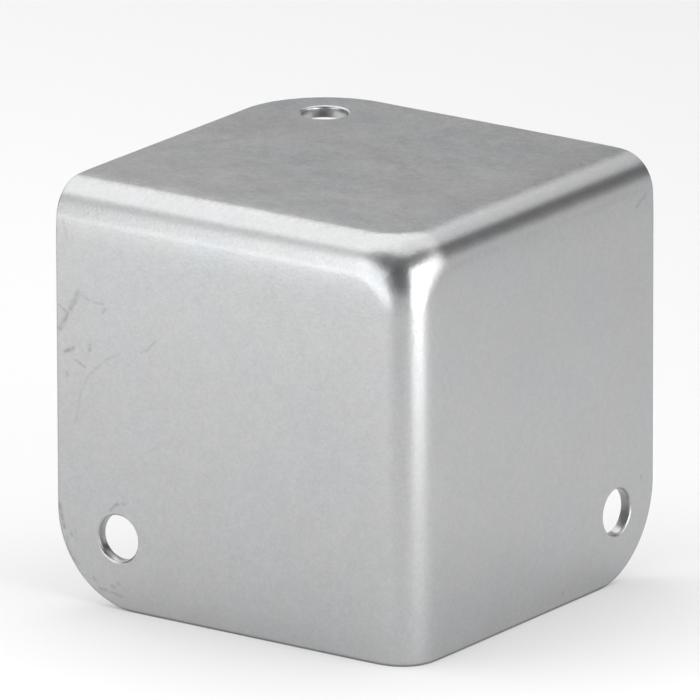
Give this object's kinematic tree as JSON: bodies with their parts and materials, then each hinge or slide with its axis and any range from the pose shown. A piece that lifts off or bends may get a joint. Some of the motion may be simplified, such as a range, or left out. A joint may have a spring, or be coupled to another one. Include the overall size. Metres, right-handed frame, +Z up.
{
  "type": "case corner",
  "caption": "Drawn sheet-steel corner cap that wraps the corner of a case or box, with a ball-shaped apex, rounded bends and a screw hole in the free corner of each face.",
  "frame": {"origin": "middle of the bounding box, on the plane that the lower edges of the two walls stand on", "axes": "+Z up out of the top face, +X out of the side wall, -Y out of the front wall"},
  "size_m": [0.042, 0.041, 0.042],
  "materials": {
    "zinc_plated_steel": "satin zinc plate"
  },
  "bodies": {
    "root": {"corner_shell": "zinc_plated_steel"}
  },
  "joints": []
}
